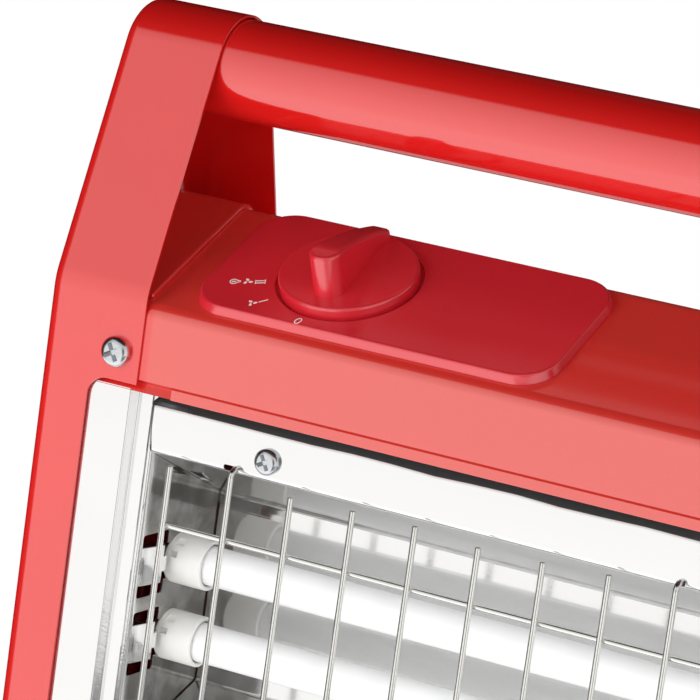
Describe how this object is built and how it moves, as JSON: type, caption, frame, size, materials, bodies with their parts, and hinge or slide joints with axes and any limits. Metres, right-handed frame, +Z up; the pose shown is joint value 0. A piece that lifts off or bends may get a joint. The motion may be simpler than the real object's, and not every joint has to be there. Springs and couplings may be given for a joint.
{
  "type": "quartz heater",
  "caption": "Free-standing electric quartz heater: painted sheet case with a tube handle, mirror troughs with quartz tubes, a fan, a wire guard and a dial.",
  "frame": {"origin": "on the floor, under the middle of the case", "axes": "+Z up, the guarded front towards -Y, +X to the right seen from the front"},
  "size_m": [0.4178, 0.16, 0.455],
  "materials": {
    "red_paint": "gloss powder coat",
    "bright_sheet": "mirror bright",
    "guard_wire": "bright plated wire",
    "dial_plastic": "satin",
    "black_plastic": "matt, lightly grained",
    "white_plastic": "satin",
    "quartz": "frosted white",
    "white_ceramic": "unglazed",
    "heating_wire": "oxidised",
    "zinc_steel": "zinc plated",
    "screw_steel": "nickel plated",
    "copper_wire": "lacquered copper",
    "wire_sheath": "matt",
    "pad_rubber": "matt"
  },
  "bodies": {
    "case": {"left_end_panel": "red_paint", "right_end_panel": "red_paint", "top_cover": "red_paint", "back_panel": "red_paint", "base_pan": "red_paint", "left_tube_plate": "bright_sheet", "right_tube_plate": "bright_sheet", "upper_reflector": "bright_sheet", "lower_reflector": "bright_sheet", "fan_panel": "bright_sheet", "wire_guard": "guard_wire", "handle_tube": "red_paint", "handle_plugs": "black_plastic", "control_panel": "dial_plastic", "switch_body": "black_plastic", "quartz_tube_1": "quartz", "quartz_tube_2": "quartz", "quartz_tube_3": "quartz", "quartz_tube_4": "quartz", "heating_coil_1": "heating_wire", "heating_coil_2": "heating_wire", "heating_coil_3": "heating_wire", "heating_coil_4": "heating_wire", "left_cap_1": "white_ceramic", "left_cap_2": "white_ceramic", "left_cap_3": "white_ceramic", "left_cap_4": "white_ceramic", "right_cap_1": "white_ceramic", "right_cap_2": "white_ceramic", "right_cap_3": "white_ceramic", "right_cap_4": "white_ceramic", "tube_terminals": "zinc_steel", "motor_core": "zinc_steel", "motor_coil": "copper_wire", "motor_front_plate": "zinc_steel", "motor_back_plate": "zinc_steel", "fan_bracket": "zinc_steel", "thermal_cutout": "black_plastic", "terminal_block": "white_plastic", "tip_switch": "black_plastic", "cord_gland": "black_plastic", "wiring": "wire_sheath", "left_foot": "black_plastic", "right_foot": "black_plastic", "foot_pads": "pad_rubber", "flange_screws": "screw_steel", "reflector_screws": "screw_steel", "back_screws": "screw_steel", "fan_screws": "screw_steel", "handle_screws": "screw_steel", "switch_screws": "screw_steel", "foot_screws": "screw_steel"},
    "dial": {"dial_knob": "dial_plastic", "switch_spindle": "zinc_steel"},
    "fan": {"fan_blades": "black_plastic", "fan_shaft": "zinc_steel", "motor_rotor": "zinc_steel"},
    "plunger": {"tip_plunger": "white_plastic"}
  },
  "joints": [
    {"name": "dial_turn", "type": "hinge", "parent": "case", "child": "dial", "pos_m": [-0.1229, -0.01091, 0.38521], "axis": [0, 0.4462, -0.8949], "range_deg": [0, 60]},
    {"name": "fan_spin", "type": "hinge", "parent": "case", "child": "fan", "pos_m": [0, 0, 0.194], "axis": [0, 1, 0], "continuous": true},
    {"name": "plunger_drop", "type": "slide", "parent": "case", "child": "plunger", "axis": [0, 0, -1], "range_m": [0, 0.006], "stiffness_N_per_m": 60, "springref_m": 0.012}
  ]
}
